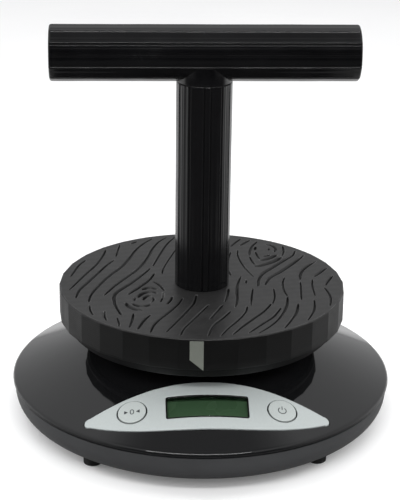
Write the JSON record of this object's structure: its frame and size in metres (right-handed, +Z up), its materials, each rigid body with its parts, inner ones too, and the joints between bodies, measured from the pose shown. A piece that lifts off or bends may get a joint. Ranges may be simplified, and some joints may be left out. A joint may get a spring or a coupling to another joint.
{
  "type": "digital bird-weighing scale",
  "caption": "Round black battery kitchen scale with a silver control panel, carrying a removable fluted T-shaped perch on a wood-grained disc.",
  "frame": {"origin": "centre of the round body on the plane of its feet", "axes": "+Z up, display faces -Y, +X to the right when facing the display"},
  "size_m": [0.194, 0.194, 0.2053],
  "materials": {
    "lower_shell": "satin moulded, slightly scuffed",
    "upper_shell": "gloss black, mirror-like",
    "silver_face": "fine satin silver lacquer",
    "bezel_black": "gloss",
    "display_lens": "polished, smoked green",
    "inner_plastic": "natural moulded",
    "display_glass": "polished",
    "contact_rubber": "soft striped rubber",
    "board_laminate": "solder mask, satin",
    "chip_resin": "cast resin",
    "switch_black": "moulded",
    "screw_steel": "zinc plated",
    "key_silver": "fine satin silver lacquer",
    "cell_aluminium": "milled",
    "gauge_film": "white silicone coat",
    "spacer_steel": "stamped",
    "cable_jacket": "soft vinyl",
    "lead_red": "soft vinyl",
    "contact_nickel": "nickel plated",
    "spring_nickel": "nickel plated wire",
    "battery_jacket": "printed shrink sleeve, plain",
    "flap_black": "satin moulded",
    "foot_rubber": "matte, dusty",
    "pan_gloss": "gloss black",
    "bracket_aluminium": "die cast",
    "grommet_rubber": "moulded",
    "perch_disc": "layer-printed, matte, grained",
    "perch_body": "satin black, fluted",
    "tie_steel": "zinc plated",
    "insert_brass": "knurled",
    "marker_grey": "matte tape"
  },
  "bodies": {
    "base": {"bottom_case": "lower_shell", "top_case": "upper_shell", "face_panel": "silver_face", "lcd_bezel": "bezel_black", "lcd_window": "display_lens", "lcd_frame": "inner_plastic", "lcd_glass": "display_glass", "zebra_strips": "contact_rubber", "main_board": "board_laminate", "control_chip": "chip_resin", "tact_switches": "switch_black", "board_screws": "screw_steel", "load_cell": "cell_aluminium", "strain_gauges": "gauge_film", "cell_spacer": "spacer_steel", "cell_base_screws": "screw_steel", "overload_stop": "screw_steel", "cell_cable": "cable_jacket", "battery_leads": "lead_red", "battery_contacts": "contact_nickel", "battery_springs": "spring_nickel", "batteries": "battery_jacket", "rubber_feet": "foot_rubber", "case_screws": "screw_steel"},
    "tare_key": {"tare_button": "key_silver", "tare_plunger": "inner_plastic"},
    "power_key": {"power_button": "key_silver", "power_plunger": "inner_plastic"},
    "flap": {"battery_flap": "flap_black"},
    "platform": {"weighing_pan": "pan_gloss", "pan_bracket": "bracket_aluminium", "pan_grommets": "grommet_rubber", "cell_top_screws": "screw_steel"},
    "perch": {"perch_base": "perch_disc", "perch_post": "perch_body", "perch_bar": "perch_body", "tie_bolt": "tie_steel", "tie_washer": "tie_steel", "bar_insert": "insert_brass", "post_dowels": "tie_steel", "index_strip": "marker_grey"}
  },
  "joints": [
    {"name": "tare_press", "type": "slide", "parent": "base", "child": "tare_key", "axis": [0, 0.3987, -0.9171], "range_m": [0, 0.0005]},
    {"name": "power_press", "type": "slide", "parent": "base", "child": "power_key", "axis": [0, 0.3987, -0.9171], "range_m": [0, 0.0005]},
    {"name": "platform_sink", "type": "slide", "parent": "base", "child": "platform", "axis": [0, 0, -1], "range_m": [0, 0.0004]},
    {"name": "perch_lift", "type": "slide", "parent": "platform", "child": "perch", "axis": [0, 0, 1], "range_m": [0, 0.06]},
    {"name": "flap_hinge", "type": "hinge", "parent": "base", "child": "flap", "pos_m": [0, 0.0436, 0.004], "axis": [-1, 0, 0], "range_deg": [0, 90]}
  ]
}
